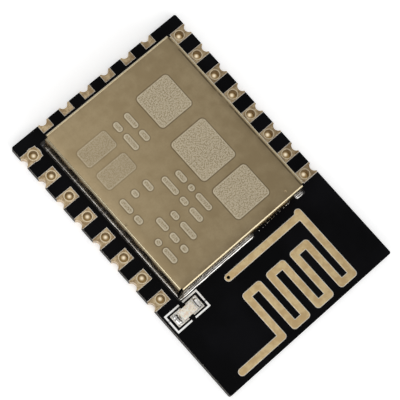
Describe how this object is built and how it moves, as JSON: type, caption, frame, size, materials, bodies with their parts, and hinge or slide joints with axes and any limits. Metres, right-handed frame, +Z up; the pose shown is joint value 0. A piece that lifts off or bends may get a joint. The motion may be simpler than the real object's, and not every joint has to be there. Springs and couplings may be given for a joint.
{
  "type": "wifi module",
  "caption": "Small radio circuit board with plated edge pads on three sides, a printed meander antenna and a soldered metal can.",
  "frame": {"origin": "under the middle of the board, at the underside of its pads", "axes": "+Y towards the antenna end, +X to the right with the antenna on top, +Z up out of the board on the can's side"},
  "size_m": [0.016, 0.024, 0.0029],
  "materials": {
    "laminate": "woven glass laminate, cut edges",
    "mask": "black solder mask, satin, with a few dust specks",
    "gold": "gold plated copper, satin",
    "can": "nickel silver sheet, satin, slightly mottled",
    "solder": "bright solder",
    "tin": "tin plated ends, satin",
    "print": "white printed ink",
    "lamp_base": "pale laminate",
    "lamp_cap": "cloudy clear resin",
    "chip_black": "moulded resin",
    "crystal_ceramic": "dark ceramic",
    "crystal_lid": "thin metal lid, satin",
    "capacitor_ceramic": "tan ceramic",
    "resistor_ceramic": "black glaze on ceramic",
    "inductor": "grey blue ceramic"
  },
  "bodies": {
    "root": {"laminate": "laminate", "mask_top": "mask", "mask_bottom": "mask", "pad_01": "gold", "pad_02": "gold", "pad_03": "gold", "pad_04": "gold", "pad_05": "gold", "pad_06": "gold", "pad_07": "gold", "pad_08": "gold", "pad_09": "gold", "pad_10": "gold", "pad_11": "gold", "pad_12": "gold", "pad_13": "gold", "pad_14": "gold", "pad_15": "gold", "pad_16": "gold", "pad_17": "gold", "pad_18": "gold", "pad_19": "gold", "pad_20": "gold", "pad_21": "gold", "pad_22": "gold", "antenna_trace": "gold", "can_land": "gold", "shield_can": "can", "solder_front": "solder", "solder_left": "solder", "solder_right": "solder", "solder_rear": "solder", "lamp_frame_print": "print", "lamp_lands": "gold", "lamp_base": "lamp_base", "lamp_ends": "tin", "lamp_cap": "lamp_cap", "lamp_solder": "solder", "part_lands": "gold", "processor": "chip_black", "processor_contacts": "tin", "memory_body": "chip_black", "memory_leads": "tin", "crystal_base": "crystal_ceramic", "crystal_lid": "crystal_lid", "capacitor_bodies": "capacitor_ceramic", "capacitor_ends": "tin", "resistor_bodies": "resistor_ceramic", "resistor_ends": "tin", "inductors": "inductor"}
  },
  "joints": []
}
